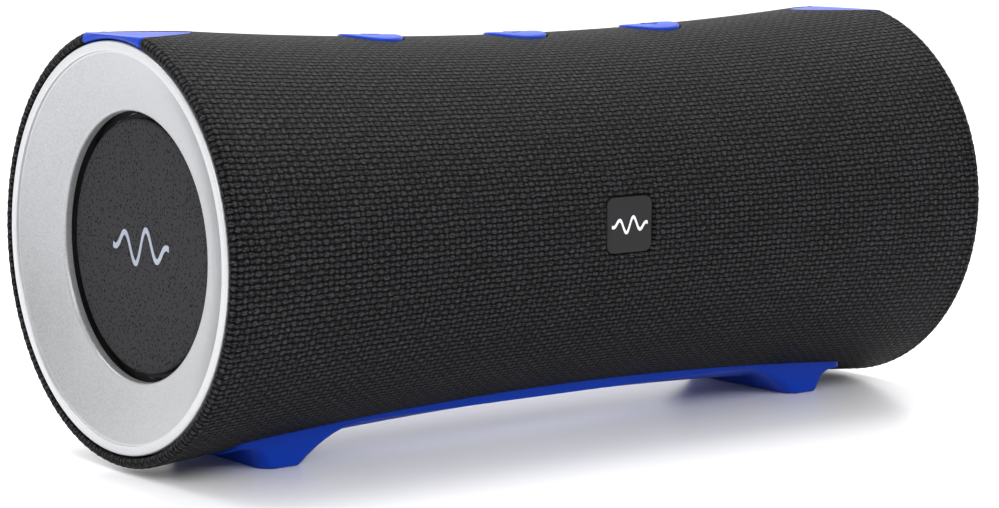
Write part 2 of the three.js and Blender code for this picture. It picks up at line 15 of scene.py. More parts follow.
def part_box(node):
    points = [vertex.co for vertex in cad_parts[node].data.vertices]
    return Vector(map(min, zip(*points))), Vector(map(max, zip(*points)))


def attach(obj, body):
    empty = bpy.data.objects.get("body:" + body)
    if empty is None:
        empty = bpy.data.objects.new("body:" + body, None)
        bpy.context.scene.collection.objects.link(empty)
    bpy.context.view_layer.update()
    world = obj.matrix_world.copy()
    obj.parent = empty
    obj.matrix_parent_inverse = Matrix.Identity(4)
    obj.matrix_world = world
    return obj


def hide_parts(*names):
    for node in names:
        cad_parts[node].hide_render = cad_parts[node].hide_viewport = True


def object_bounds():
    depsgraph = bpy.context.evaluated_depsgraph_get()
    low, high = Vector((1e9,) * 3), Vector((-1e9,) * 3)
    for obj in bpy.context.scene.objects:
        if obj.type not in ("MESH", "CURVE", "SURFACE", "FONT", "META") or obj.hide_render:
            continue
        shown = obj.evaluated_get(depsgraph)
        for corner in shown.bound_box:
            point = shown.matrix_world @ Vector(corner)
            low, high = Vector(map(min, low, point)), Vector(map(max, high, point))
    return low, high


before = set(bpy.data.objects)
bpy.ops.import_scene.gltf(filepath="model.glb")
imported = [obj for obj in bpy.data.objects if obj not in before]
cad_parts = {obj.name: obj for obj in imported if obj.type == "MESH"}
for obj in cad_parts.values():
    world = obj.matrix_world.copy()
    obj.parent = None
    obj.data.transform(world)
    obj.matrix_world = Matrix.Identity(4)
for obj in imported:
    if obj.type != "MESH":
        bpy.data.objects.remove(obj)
cad_low, cad_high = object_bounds()

MM = 0.001
RING_LOW, RING_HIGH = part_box("end_ring_right")
AXIS_HEIGHT = (RING_LOW.z + RING_HIGH.z) / 2 / MM
HALF = cad_high.x / MM  # half the length
RING_RADIUS = RING_HIGH.y / MM
END_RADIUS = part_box("fabric_sleeve")[1].y / MM
FLARE = 4.9  # the ends are this much larger in radius than the waist
WAIST_RADIUS = END_RADIUS - FLARE
LIP_RADIUS = 1.7  # roll of the cloth over each end
RIM_X = HALF - LIP_RADIUS
GROUND = -AXIS_HEIGHT
BAND_WIDTH = 2.2  # the outer band of the silver ring
TAB_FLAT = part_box("top_tab_right")[1].z / MM - AXIS_HEIGHT  # level top of the end tabs

SIDES = [("left", -1), ("right", 1)]
KEYS = ["volume_down", "play", "volume_up"]


def in_frame(points):
    placed = np.asarray(points, float).reshape(-1, 3) * MM
    placed[:, 2] += AXIS_HEIGHT * MM
    return placed


# ---- Camera ----
AZIMUTH = math.radians(-38.12)
ELEVATION = math.radians(7.41)
ROLL = math.radians(0.22)
DISTANCE = 715.1
AIM = (-3.4, 1.1, -9.4)  # the point that the camera looks at
LENS = 108.1


def make_camera():
    back = Vector(
        (
            math.sin(AZIMUTH) * math.cos(ELEVATION),
            -math.cos(AZIMUTH) * math.cos(ELEVATION),
            math.sin(ELEVATION),
        )
    )
    camera = bpy.data.objects.new("camera", bpy.data.cameras.new("camera"))
    bpy.context.scene.collection.objects.link(camera)
    camera.data.sensor_width = 36
    camera.data.lens = LENS
    camera.data.clip_start = 0.05
    turn = (-back).to_track_quat("-Z", "Y").to_matrix() @ Matrix.Rotation(ROLL, 3, "Z")
    camera.rotation_euler = turn.to_euler()
    camera.location = Vector(in_frame([AIM])[0]) + back * DISTANCE * MM
    bpy.context.scene.camera = camera


make_camera()
bpy.context.scene.view_settings.view_transform = "Standard"


# ---- Material fields: plain arithmetic on node sockets ----
class Field:
    """A number or colour that varies over a surface."""

    def __init__(self, tree, socket):
        self.tree = tree
        self.socket = socket

    def math(self, operation, *others):
        node = self.tree.nodes.new("ShaderNodeMath")
        node.operation = operation
        for slot, value in zip(node.inputs, (self, *others)):
            if isinstance(value, Field):
                self.tree.links.new(value.socket, slot)
            else:
                slot.default_value = value
        return Field(self.tree, node.outputs[0])

    def __add__(self, other):
        return self.math("ADD", other)

    def __sub__(self, other):
        return self.math("SUBTRACT", other)

    def __rsub__(self, other):
        return (self * -1) + other

    def __mul__(self, other):
        return self.math("MULTIPLY", other)

    def above(self, other):
        return self.math("GREATER_THAN", other)

    def larger(self, other):
        return self.math("MAXIMUM", other)

    def floor(self):
        return self.math("FLOOR")

    def fraction(self):
        return self.math("FRACT")

    def wave(self):
        """1 at whole even numbers and -1 at whole odd ones."""
        return (self * math.pi).math("COSINE")

    def rounded(self):
        """A thread's round section: 0 at whole numbers and 1 halfway between them."""
        across = self.fraction() * 2 - 1
        return (1 - across * across).larger(0.0).math("SQRT")

    def ramp(self, low, high, start=0.0, end=1.0):
        node = self.tree.nodes.new("ShaderNodeMapRange")
        node.interpolation_type = "SMOOTHSTEP"
        self.tree.links.new(self.socket, node.inputs["Value"])
        limits = {"From Min": low, "From Max": high, "To Min": start, "To Max": end}
        for name, value in limits.items():
            node.inputs[name].default_value = value
        return Field(self.tree, node.outputs["Result"])

    def mix(self, low, high):
        """The colour low where this is 0 and high where it is 1."""
        node = self.tree.nodes.new("ShaderNodeMix")
        node.data_type = "RGBA"
        self.tree.links.new(self.socket, node.inputs["Factor"])
        for slot, value in zip(node.inputs[6:8], (low, high)):
            if isinstance(value, Field):
                self.tree.links.new(value.socket, slot)
            else:
                slot.default_value = (*value, 1)
        return Field(self.tree, node.outputs[2])


class Finish:
    """A Principled material with its constant values set, and fields to drive the rest."""

    def __init__(self, name, **constants):
        self.material = bpy.data.materials.new(name)
        self.material.use_nodes = True
        self.tree = self.material.node_tree
        self.shader = self.tree.nodes["Principled BSDF"]
        for key, value in constants.items():
            self.shader.inputs[key.replace("_", " ")].default_value = value
        self.place = self.tree.nodes.new("ShaderNodeTexCoord").outputs["Object"]

    def uv(self):
        parts = self.tree.nodes.new("ShaderNodeSeparateXYZ")
        source = self.tree.nodes.new("ShaderNodeUVMap")
        source.uv_map = "weave"
        self.tree.links.new(source.outputs["UV"], parts.inputs[0])
        return Field(self.tree, parts.outputs[0]), Field(self.tree, parts.outputs[1])

    def vector(self, *fields):
        node = self.tree.nodes.new("ShaderNodeCombineXYZ")
        for slot, field in zip(node.inputs, fields):
            self.tree.links.new(field.socket, slot)
        return node.outputs[0]

    def texture(self, kind, output, scale, where=None, **settings):
        node = self.tree.nodes.new(kind)
        for key, value in settings.items():
            node.inputs[key.replace("_", " ")].default_value = value
        node.inputs["Scale"].default_value = scale
        self.tree.links.new(where or self.place, node.inputs["Vector"])
        return Field(self.tree, node.outputs[output])

    def noise(self, size_mm, where=None, detail=2.0, roughness=0.5):
        """Noise from 0 to 1 whose lumps are about size_mm across."""
        scale = 1 / size_mm if where else 1 / (size_mm * MM)
        settings = {"Detail": detail, "Roughness": roughness}
        return self.texture("ShaderNodeTexNoise", "Fac", scale, where, **settings)

    def cells(self, size_mm, output="Distance"):
        return self.texture("ShaderNodeTexVoronoi", output, 1 / (size_mm * MM))

    def drive(self, socket, field):
        self.tree.links.new(field.socket, self.shader.inputs[socket])

    def bump(self, field, height_mm):
        node = self.tree.nodes.new("ShaderNodeBump")
        node.inputs["Strength"].default_value = 1
        node.inputs["Distance"].default_value = height_mm * MM
        self.tree.links.new(field.socket, node.inputs["Height"])
        self.tree.links.new(node.outputs["Normal"], self.shader.inputs["Normal"])


def shade(colour, by):
    return tuple(min(1.0, c * by) for c in colour)


CELL_X = 1.5  # one weave cell along the cylinder
ROWS = 224  # weave cells round it
LONG_WAVE, LONG_ROUND = 0.36, 0.74  # how far yarns along it weave, and how round they are
CROSS_WAVE, CROSS_ROUND = 0.5, 0.5  # the same for yarns round it
CROSS_SUNK = 0.12  # which lie this much lower


def woven():
    """A plain weave of coarse yarn. The map counts cells, so whole numbers lie between yarns."""
    finish = Finish(
        "woven_cloth",
        Specular_IOR_Level=0.04,
        Sheen_Weight=0.01,
        Sheen_Roughness=0.4,
        Sheen_Tint=(0.8, 0.82, 0.88, 1),
    )
    u, v = finish.uv()
    drift_where = finish.vector(u * 0.13, v * 0.13)
    u = u + (finish.noise(1, drift_where, 1.0) - 0.5) * 0.55
    v = v + (finish.noise(0.7, drift_where, 1.0) - 0.5) * 0.5
    column, row = u.floor(), v.floor()
    lengthwise = (u - 0.5 + row).wave() * LONG_WAVE + v.rounded() * LONG_ROUND
    crosswise = (v + 0.5 + column).wave() * CROSS_WAVE + u.rounded() * CROSS_ROUND - CROSS_SUNK
    over = lengthwise.above(crosswise)
    height = lengthwise.larger(crosswise)
    fibres_long = finish.noise(1, finish.vector(u * 1.7, v * 4.5), 4.0, 0.8)
    fibres_round = finish.noise(1, finish.vector(u * 3.2, v * 3), 4.0, 0.8)
    fibres = fibres_long * over + fibres_round * (1 - over)
    speck = finish.noise(0.6, finish.vector(u, v), 1.0, 0.7)
    painted_glint = speck.ramp(0.4, 0.7) * 1.2 + 0.5
    # Painted light: the colour darkens where the yarns dip into the gaps between them (painted
    # shade) and brightens in random spots (painted glint); the fibre streaks and broad noise are
    # the yarn's own tone.
    light = height.ramp(0.44, 1.1) * fibres.ramp(0.38, 0.64, 0.0, 2.0) * painted_glint
    light = light * (finish.noise(14, None, 2.0) * 0.5 + 0.75)
    finish.drive("Base Color", light.mix((0.0005, 0.0005, 0.0006), (0.051, 0.051, 0.054)))
    finish.drive("Roughness", fibres.ramp(0.2, 0.8, 0.4, 0.65))
    finish.bump(height + fibres * 0.6 + speck * 0.35, 0.8)
    return finish.material


def moulded(name, colour, roughness, grain=0.35, relief=0.02, contrast=0.12, **constants):
    """Moulded plastic or rubber with a fine spark-eroded grain and slightly uneven gloss."""
    finish = Finish(name, **constants)
    fine = finish.noise(grain, detail=3.0)
    broad = finish.noise(12, detail=3.0)
    tone = broad * 0.6 + fine * 0.4
    finish.drive("Base Color", tone.mix(shade(colour, 1 - contrast), shade(colour, 1 + contrast)))
    finish.drive("Roughness", tone.ramp(0.2, 0.8, roughness - 0.06, roughness + 0.06))
    finish.bump(fine, relief)
    return finish.material


def silver_paint():
    """Satin metallic paint with fine flakes; the outer band is coloured lighter than the dish, a
    painted highlight on the band and painted shade in the dish.
    """
    finish = Finish("silver_paint", Metallic=0.55, Coat_Weight=0.2, Coat_Roughness=0.15)
    flake = finish.cells(0.28, "Color")
    luma = finish.tree.nodes.new("ShaderNodeRGBToBW")
    finish.tree.links.new(flake.socket, luma.inputs[0])
    flake = Field(finish.tree, luma.outputs[0])
    grain = finish.noise(0.5, detail=4.0)
    broad = finish.noise(18, detail=2.0)
    tone = flake * 0.45 + grain * 0.3 + broad * 0.25
    parts = finish.tree.nodes.new("ShaderNodeSeparateXYZ")
    finish.tree.links.new(finish.place, parts.inputs[0])
    across, up = (Field(finish.tree, parts.outputs[k]) for k in (1, 2))
    up = up - AXIS_HEIGHT * MM
    radius = (across * across + up * up).math("SQRT")
    edge = (RING_RADIUS - BAND_WIDTH) * MM
    # Painted light: the band outside this radius gets a lighter colour than the dish, for the light
    # its rounded edge catches.
    band = radius.ramp(edge - 0.0006, edge)
    dish = tone.mix((0.26, 0.263, 0.27), (0.46, 0.465, 0.475))
    painted_bright_band = tone.mix((0.46, 0.465, 0.475), (0.58, 0.585, 0.595))
    finish.drive("Base Color", band.mix(dish, painted_bright_band))
    finish.drive("Roughness", tone.ramp(0.2, 0.8, 0.3, 0.42))
    finish.bump(grain + flake * 0.4, 0.035)
    return finish.material


def stippled():
    """The radiator caps: charcoal with a fine peppered texture."""
    finish = Finish("stippled_charcoal", Specular_IOR_Level=0.06)
    pits = finish.cells(0.75).ramp(0.1, 0.45)
    grain = finish.noise(0.45, detail=3.0, roughness=0.65)
    tone = grain * 0.65 + pits * 0.35
    shades = tone.ramp(0.38, 0.66).mix((0.0015, 0.0015, 0.0017), (0.031, 0.031, 0.034))
    finish.drive("Base Color", shades)
    finish.drive("Roughness", grain.ramp(0.2, 0.8, 0.5, 0.75))
    finish.bump(tone, 0.3)
    return finish.material


def brushed(name, colour, roughness):
    """Bare metal with fine lines."""
    finish = Finish(name, Metallic=1.0)
    stretch = (1, 1, 12)
    mapping = finish.tree.nodes.new("ShaderNodeMapping")
    mapping.inputs["Scale"].default_value = tuple(s / (2 * MM) for s in stretch)
    finish.tree.links.new(finish.place, mapping.inputs["Vector"])
    lines = finish.noise(1, mapping.outputs[0], 3.0)
    finish.drive("Base Color", lines.mix(shade(colour, 0.8), shade(colour, 1.15)))
    finish.drive("Roughness", lines.ramp(0.2, 0.8, roughness - 0.08, roughness + 0.1))
    finish.bump(lines, 0.01)
    return finish.material


def board():
    """Green solder mask with faint copper tracks under it."""
    finish = Finish("circuit_board", Coat_Weight=0.3)
    tracks = finish.texture("ShaderNodeTexBrick", "Fac", 140, Mortar_Size=0.03)
    grain = finish.noise(1.2)
    tone = tracks * 0.6 + grain * 0.4
    finish.drive("Base Color", tone.mix((0.008, 0.07, 0.03), (0.03, 0.2, 0.08)))
    finish.drive("Roughness", grain.ramp(0.2, 0.8, 0.3, 0.5))
    finish.bump(tracks, 0.03)
    return finish.material


BLUE = (0.001, 0.034, 0.36)
MATERIALS = {
    "cloth": woven(),
    "silver": silver_paint(),
    "charcoal": stippled(),
    "blue": moulded("blue_rubber", BLUE, 0.4, grain=0.4, relief=0.02, Specular_IOR_Level=0.12),
    "black": moulded("black_plastic", (0.014, 0.014, 0.015), 0.45, grain=0.5, relief=0.03),
    "rubber": moulded("soft_rubber", (0.012, 0.012, 0.013), 0.7, grain=0.6, relief=0.02),
    "badge": moulded(
        "badge_grey", (0.017, 0.017, 0.018), 0.5, grain=0.5, relief=0.01, Specular_IOR_Level=0.15
    ),
    "print": moulded("pale_print", (0.3, 0.33, 0.4), 0.55, grain=0.4, relief=0.01, contrast=0.3),
    "white": moulded("white_print", (0.8, 0.81, 0.82), 0.5, grain=0.3, relief=0.005, contrast=0.05),
    "lens": moulded("clear_lens", (0.75, 0.82, 0.9), 0.15, grain=1.0, relief=0.002),
    "dark": moulded("cone_paper", (0.05, 0.05, 0.053), 0.7, grain=0.8, relief=0.03),
    "cell": moulded("cell_wrap", (0.03, 0.12, 0.34), 0.35, grain=2.0, relief=0.005),
    "steel": brushed("brushed_steel", (0.55, 0.56, 0.58), 0.35),
    "plated": brushed("plated_steel", (0.75, 0.74, 0.7), 0.25),
    "board": board(),
}


# ---- Mesh building ----
SHARP = math.radians(38)


def piece(name, verts, faces, material, body, replaces=(), slot=None, map_uv=None):
    """Makes one piece from points in millimetres, and puts it on its body."""
    mesh = bpy.data.meshes.new(name)
    mesh.from_pydata(in_frame(verts).tolist(), [], [list(map(int, f)) for f in faces])
    mesh.validate()
    if map_uv is not None:
        corners = np.zeros(len(mesh.loops), int)
        mesh.loops.foreach_get("vertex_index", corners)
        layer = mesh.uv_layers.new(name="weave")
        layer.data.foreach_set("uv", np.asarray(map_uv)[corners].astype(np.float32).ravel())
    mesh.shade_smooth()
    mesh.set_sharp_from_angle(angle=SHARP)
    made = bpy.data.objects.new(name, mesh)
    made.data.materials.append(MATERIALS[material])
    bpy.context.scene.collection.objects.link(made)
    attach(made, body)
    if replaces:
        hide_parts(*replaces)
    return made


def strips(count, rows, closed=True):
    """Faces between successive rows of count points; closed joins each row's ends."""
    faces = []
    for row in range(rows - 1):
        for i in range(count if closed else count - 1):
            j = (i + 1) % count
            a, b = row * count, (row + 1) * count
            faces.append((a + i, a + j, b + j, b + i))
    return faces


def lathe(profile, steps, axis="x", centre=(0, 0)):
    """Turns a profile of (along, radius) points. The solid lies to the profile's right."""
    angles = np.linspace(0, 2 * math.pi, steps, endpoint=False)
    rows = np.array(
        [[(along, r * math.cos(a), r * math.sin(a)) for a in angles] for along, r in profile]
    )
    points = rows.reshape(-1, 3)
    if axis == "y":
        points = points[:, [2, 0, 1]]
    if axis == "z":
        points = points[:, [1, 2, 0]]
    free = [k for k in range(3) if k != "xyz".index(axis)]
    points[:, free] += centre
    faces = strips(steps, len(profile))
    if profile[0] != profile[-1]:
        last = (len(profile) - 1) * steps
        faces.append(tuple(reversed(range(steps))))
        faces.append(tuple(last + i for i in range(steps)))
    return points, faces


def arc(centre, radius, start, end, count=5):
    """Points on an arc in degrees, as (along, radius) pairs."""
    return [
        (centre[0] + radius * math.cos(a), centre[1] + radius * math.sin(a))
        for a in np.radians(np.linspace(start, end, count + 1))
    ]


def joined(*parts):
    """Several (points, faces) as one."""
    verts, faces, start = [], [], 0
    for points, shapes in parts:
        verts.append(np.asarray(points, float).reshape(-1, 3))
        faces += [tuple(start + i for i in f) for f in shapes]
        start += len(verts[-1])
    return np.vstack(verts), faces


def mirrored(part, side):
    """The part turned half round Z for the left side."""
    points, faces = part
    points = np.array(points, float)
    if side < 0:
        points[:, :2] *= -1
    return points, faces


# ---- Outlines ----
class Outline:
    """A rectangle with round corners, in a plane of its own."""

    def __init__(self, size, corner, centre=(0, 0), step=1.2):
        self.size = size
        self.corner = corner
        self.centre = centre
        self.step = step

    def loop(self, grow=0.0):
        """Points anticlockwise; every value of grow gives the same number of them."""
        corner = max(self.corner + grow, 0.02)
        straights = [max(1, round((s - 2 * self.corner) / self.step)) for s in self.size]
        turn = max(3, round(self.corner * 1.6 / self.step))
        half = [s / 2 + grow - corner for s in self.size]
        points = []
        for k, (sx, sy) in enumerate([(1, -1), (1, 1), (-1, 1), (-1, -1)]):
            middle = np.array([sx * half[0], sy * half[1]])
            for a in np.radians(np.linspace(90 * k - 90, 90 * k, turn + 1)):
                points.append(middle + corner * np.array([math.cos(a), math.sin(a)]))
            after = [(1, 1), (-1, 1), (-1, -1), (1, -1)][k]
            target = np.array([after[0] * half[0], after[1] * half[1]])
            a = math.radians(90 * k)
            out = corner * np.array([math.cos(a), math.sin(a)])
            count = straights[1 - k % 2]
            points += [middle + out + (target - middle) * i / count for i in range(1, count)]
        return np.array(points) + self.centre

    def distance(self, u, v):
        """Distance outside the outline, negative inside it."""
        across = np.abs(u - self.centre[0]) - self.size[0] / 2 + self.corner
        up = np.abs(v - self.centre[1]) - self.size[1] / 2 + self.corner
        outside = np.hypot(np.maximum(across, 0), np.maximum(up, 0))
        return outside + np.minimum(np.maximum(across, up), 0) - self.corner


def circle(radius, centre=(0, 0), step=0.8):
    return Outline((2 * radius, 2 * radius), radius - 0.001, centre, step)


def lattice(low, high, spacing):
    """A triangular lattice of points over a rectangle."""
    rows = max(2, round((high[1] - low[1]) / (spacing * 0.87)))
    count = max(2, round((high[0] - low[0]) / spacing))
    pitch = (high[0] - low[0]) / count
    points = []
    for j in range(1, rows):
        v = low[1] + (high[1] - low[1]) * j / rows
        shift = 0.5 if j % 2 else 0.0
        points += [(low[0] + pitch * (i + shift), v) for i in range(1, count)]
    return np.array(points)


def triangulate(loops, points, inside):
    """Triangles over the points, with every loop kept as edges and the outside left out."""
    verts = [tuple(p) for p in points]
    edges = []
    for loop, is_closed in loops:
        start = len(verts)
        verts += [tuple(p) for p in loop]
        edges += [(start + i, start + i + 1) for i in range(len(loop) - 1)]
        if is_closed:
            edges.append((start + len(loop) - 1, start))
    flat, _, faces, *_ = delaunay_2d_cdt([Vector(v) for v in verts], edges, [], 0, 1e-5)
    flat = np.array([tuple(p) for p in flat])
    faces = np.array([f for f in faces if len(f) == 3])
    middle = flat[faces].mean(axis=1)
    faces = faces[inside(middle[:, 0], middle[:, 1])]
    used = np.unique(faces)
    renumber = np.full(len(flat), -1)
    renumber[used] = np.arange(len(used))
    return flat[used], renumber[faces]


def edge_rolls(roll):
    """Distances from an edge at which a roll of that radius needs a row of points."""
    return [roll * (1 - math.cos(a)) for a in np.radians([0, 25, 45, 65, 90])]


def rolled(distance, roll):
    """How far a surface has dropped, at a distance from an edge rounded with that radius."""
    reach = np.clip(distance, 0, roll)
    return roll - np.sqrt(np.maximum(roll**2 - (roll - reach) ** 2, 0))


def slab(outline, front, back, roll, spacing, holes=()):
    """A plate between two surfaces, with round edges on its front one and holes through it.

    front(u, v, drop) and back(u, v) give points in millimetres.
    """
    rows = edge_rolls(roll)
    loops = [(outline.loop(-d), True) for d in rows]
    for hole in holes:
        loops += [(hole.loop(d), True) for d in rows]
    edge = outline.loop(0)
    grid = lattice(edge.min(axis=0), edge.max(axis=0), spacing)

    def edge_distance(u, v):
        nearest = -outline.distance(u, v)
        for hole in holes:
            nearest = np.minimum(nearest, hole.distance(u, v))
        return nearest

    clear = rows[-1] + 0.35 * min(spacing, 1.0)
    grid = grid[edge_distance(grid[:, 0], grid[:, 1]) > clear]
    flat, faces = triangulate(loops, grid, lambda u, v: edge_distance(u, v) > 1e-4)
    u, v = flat.T
    top = np.column_stack(front(u, v, rolled(edge_distance(u, v), roll)))
    under = np.column_stack(back(u, v))
    return closed_between(top, under, faces)


def closed_between(top, under, faces):
    """Joins two copies of a triangulated surface along their open edges."""
    count = len(top)
    directed = np.vstack([faces[:, [0, 1]], faces[:, [1, 2]], faces[:, [2, 0]]])
    forward = {(int(a), int(b)) for a, b in directed}
    rim = [(a, b) for a, b in forward if (b, a) not in forward]
    shapes = [tuple(f) for f in faces]
    shapes += [tuple(f[::-1] + count) for f in faces]
    shapes += [(b, a, a + count, b + count) for a, b in sorted(rim)]
    return np.vstack([top, under]), shapes


def flip(part):
    points, faces = part
    return points, [tuple(reversed(f)) for f in faces]


# ---- The waisted body surface ----
def radius_at(x):
    return WAIST_RADIUS + FLARE * (x / RIM_X) ** 2


def slope_at(x):
    return 2 * FLARE * x / RIM_X**2


SLOPE = math.atan(slope_at(RIM_X))
LIP_LENGTH = LIP_RADIUS * (math.pi / 2 + SLOPE)
TURN_RADIUS = 0.9  # second, tighter turn in behind the ring's edge
TURN_LENGTH = TURN_RADIUS * math.pi / 2
LIP_CENTRE_X = RIM_X + LIP_RADIUS * math.sin(SLOPE)
LIP_CENTRE_R = END_RADIUS - LIP_RADIUS * math.cos(SLOPE)


def cloth_line(q, depth):
    """The (x, radius) of a point depth under the cloth's surface, q along it from mid-length.

    Up to the rim q is X; past it, q keeps counting along the cloth as it rolls over the end.
    """
    along = np.abs(q)
    past = along - RIM_X
    lean = np.where(past < 0, -np.arctan(slope_at(along)), 0)
    angle = np.clip(past / LIP_RADIUS - SLOPE, -SLOPE, math.pi / 2)
    second = np.clip((past - LIP_LENGTH) / TURN_RADIUS, 0, math.pi / 2)
    straight = np.maximum(past - LIP_LENGTH - TURN_LENGTH, 0)
    direction = np.where(past < 0, lean, angle + second)
    x = np.where(
        past < 0,
        along,
        LIP_CENTRE_X
        + LIP_RADIUS * np.sin(angle)
        - TURN_RADIUS * (1 - np.cos(second))
        - straight,
    )
    r = np.where(
        past < 0,
        radius_at(along),
        LIP_CENTRE_R + LIP_RADIUS * np.cos(angle) - TURN_RADIUS * np.sin(second),
    )
    x = x - depth * np.sin(direction)
    r = r - depth * np.cos(direction)
    return np.where(q < 0, -x, x), r


def around(x, r, phi):
    """phi is 0 at the top and grows towards the front."""
    return x, -r * np.sin(phi), r * np.cos(phi)


# ---- Sleeve ----
SLEEVE_REACH = RIM_X + LIP_LENGTH + TURN_LENGTH + 2.0
CLOTH = 0.9  # thickness
HEM = 0.5  # radius of the rolled edge at each opening
SEAM = math.radians(-135)  # where the map of the cloth starts, low at the back
MEAN_RADIUS = 45.0
CLEAR = 0.35  # between the cloth and the piece in an opening
FAR = 50.0  # a distance that stands for no opening near


class Opening:
    """An opening in the sleeve, drawn on the plane that it faces."""

    def __init__(self, facing, size, corner, centre=(0, 0)):
        self.facing = facing
        self.outline = Outline(size, corner, centre, step=0.9)

    def distance(self, q, y, z):
        if self.facing in ("top", "bottom"):
            sign = 1 if self.facing == "top" else -1
            return np.where(z * sign > 0, self.outline.distance(q, y), FAR)
        sign = -1 if self.facing == "front" else 1
        return np.where(y * sign > 0, self.outline.distance(q, z), FAR)

    def loop(self, grow):
        """The outline on the map of the cloth: q, and the angle times the mean radius."""
        q, across = self.outline.loop(grow).T
        _, r = cloth_line(q, 0.0)
        phi = {
            "top": -np.arcsin(across / r),
            "bottom": math.pi + np.arcsin(across / r),
            "front": np.arccos(across / r),
            "rear": -np.arccos(across / r),
        }[self.facing]
        return np.column_stack([q, phi * MEAN_RADIUS])


def node_size(node, axes, clear=CLEAR):
    low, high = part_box(node)
    return tuple((high[k] - low[k]) / MM + 2 * clear for k in axes)


def middle_x(node):
    return sum(corner.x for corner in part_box(node)) / 2 / MM


KEY_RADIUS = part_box("play_key")[1].x / MM
KEY_X = {key: middle_x(f"{key}_key") for key in KEYS}
BADGE_Z = sum(corner.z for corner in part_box("front_badge")) / 2 / MM - AXIS_HEIGHT
BADGE_CORNER = 2.0
PANEL_CORNER = 6.0
BASE_CORNER = 2.0
EASE = 0.3  # an opening's corners are this much rounder than its piece's
OPENINGS = [
    *[
        Opening("top", node_size(f"{key}_key", (0, 1)), KEY_RADIUS + CLEAR - 0.001, (KEY_X[key], 0))
        for key in KEYS
    ],
    Opening("bottom", node_size("base", (0, 1)), BASE_CORNER + EASE),
    Opening("front", node_size("front_badge", (0, 2)), BADGE_CORNER + EASE, (0, BADGE_Z)),
    Opening("rear", node_size("port_panel", (0, 2)), PANEL_CORNER + EASE),
]
TAB_TIP = RIM_X * math.sqrt((TAB_FLAT - WAIST_RADIUS) / FLARE)
TAB_HALF = math.sqrt(END_RADIUS**2 - TAB_FLAT**2)  # half the tab's width at the rim


class TabNotch:
    """The notch for an end tab: where a level plane shaves the flared end of the body."""

    def __init__(self, side):
        self.side = side

    def distance(self, q, y, z):
        x = q * self.side
        r = radius_at(x)
        level = y**2 + TAB_FLAT**2 - r**2
        slope = np.hypot(r * slope_at(x), y)
        on_flare = level / (2 * np.maximum(slope, 1.0))
        on_roll = np.abs(y) - TAB_HALF
        away = np.where(x < RIM_X, np.maximum(on_flare, on_roll), on_roll)
        return np.where((z > 0) & (x > 0), away, FAR)

    def line(self, grow):
        """The notch's edge on the map of the cloth, open at the cloth's end."""
        y = np.linspace(TAB_HALF, -TAB_HALF, 45)
        r = np.hypot(y, TAB_FLAT)
        x = RIM_X * np.sqrt((r - WAIST_RADIUS) / FLARE)
        lean = r * slope_at(x)
        length = np.hypot(lean, y)
        x, y = x - grow * lean / length, y + grow * y / length
        legs = np.linspace(SLEEVE_REACH, RIM_X, 14, endpoint=False)
        width = TAB_HALF + grow
        upper = [(q, width) for q in legs]
        lower = [(q, -width) for q in reversed(legs)]
        q, y = np.array([*upper, *zip(x, y), *lower]).T
        _, r = cloth_line(q, 0.0)
        return np.column_stack([self.side * q, -np.arcsin(y / r) * MEAN_RADIUS])


TAB_NOTCHES = [TabNotch(side) for _, side in SIDES]


def weave_height(u, v):
    """The relief of the weave, from the same formula as the cloth's material."""
    column, row = np.floor(u), np.floor(v)

    def wave(x):
        return np.cos(math.pi * x)

    def round_section(x):
        return np.sqrt(np.maximum(1 - (2 * (x - np.floor(x)) - 1) ** 2, 0))

    lengthwise = wave(u - 0.5 + row) * LONG_WAVE + round_section(v) * LONG_ROUND
    crosswise = wave(v + 0.5 + column) * CROSS_WAVE + round_section(u) * CROSS_ROUND
    return np.maximum(lengthwise, crosswise - CROSS_SUNK)


END_BAND = 5.0  # the weave is real relief from here before the rim to the end
RELIEF = 0.3
FINE_STEP = 0.55
COARSE_STEP = 1.9


def cloth_map():
    """The flat triangulation of the cloth, fine at its ends and its openings."""
    low = np.array([-SLEEVE_REACH, SEAM * MEAN_RADIUS])
    high = np.array([SLEEVE_REACH, (SEAM + 2 * math.pi) * MEAN_RADIUS])
    fine_from = RIM_X - END_BAND
    coarse = np.arange(-fine_from, fine_from + 0.1, 2 * fine_from / 124)
    fine = np.arange(fine_from + FINE_STEP, SLEEVE_REACH - 0.2, FINE_STEP)
    stations = np.concatenate([-fine[::-1], coarse, fine])
    height = high[1] - low[1]
    points = []
    for i, q in enumerate(stations):
        count = round(height / (FINE_STEP if abs(q) > fine_from else COARSE_STEP))
        steps = (np.arange(1, count) + (0.25 if i % 2 else -0.25)) / count
        points += [(q, low[1] + height * s) for s in steps]
    points = np.array(points)
    q, t = points.T
    points = points[openings_distance(q, t / MEAN_RADIUS) > HEM + 0.9]
    levels = low[1] + height * np.arange(481) / 480
    ends = [(end, level) for end in (low[0], high[0]) for level in levels]
    sides = [(q, t) for t in (low[1], high[1]) for q in stations]
    loops = []
    for d in [*edge_rolls(HEM), HEM + 0.45, HEM + 1.0]:
        loops += [(opening.loop(d), True) for opening in OPENINGS]
        loops += [(notch.line(d), False) for notch in TAB_NOTCHES]
    return triangulate(
        loops,
        np.vstack([points, ends, sides]),
        lambda u, v: openings_distance(u, v / MEAN_RADIUS) > 0,
    )


def openings_distance(q, phi):
    """Distance over the cloth to the nearest opening."""
    x, r = cloth_line(q, 0.0)
    _, y, z = around(x, r, phi)
    nearest = np.full(np.shape(q), FAR)
    for opening in [*OPENINGS, *TAB_NOTCHES]:
        nearest = np.minimum(nearest, opening.distance(q, y, z))
    return nearest


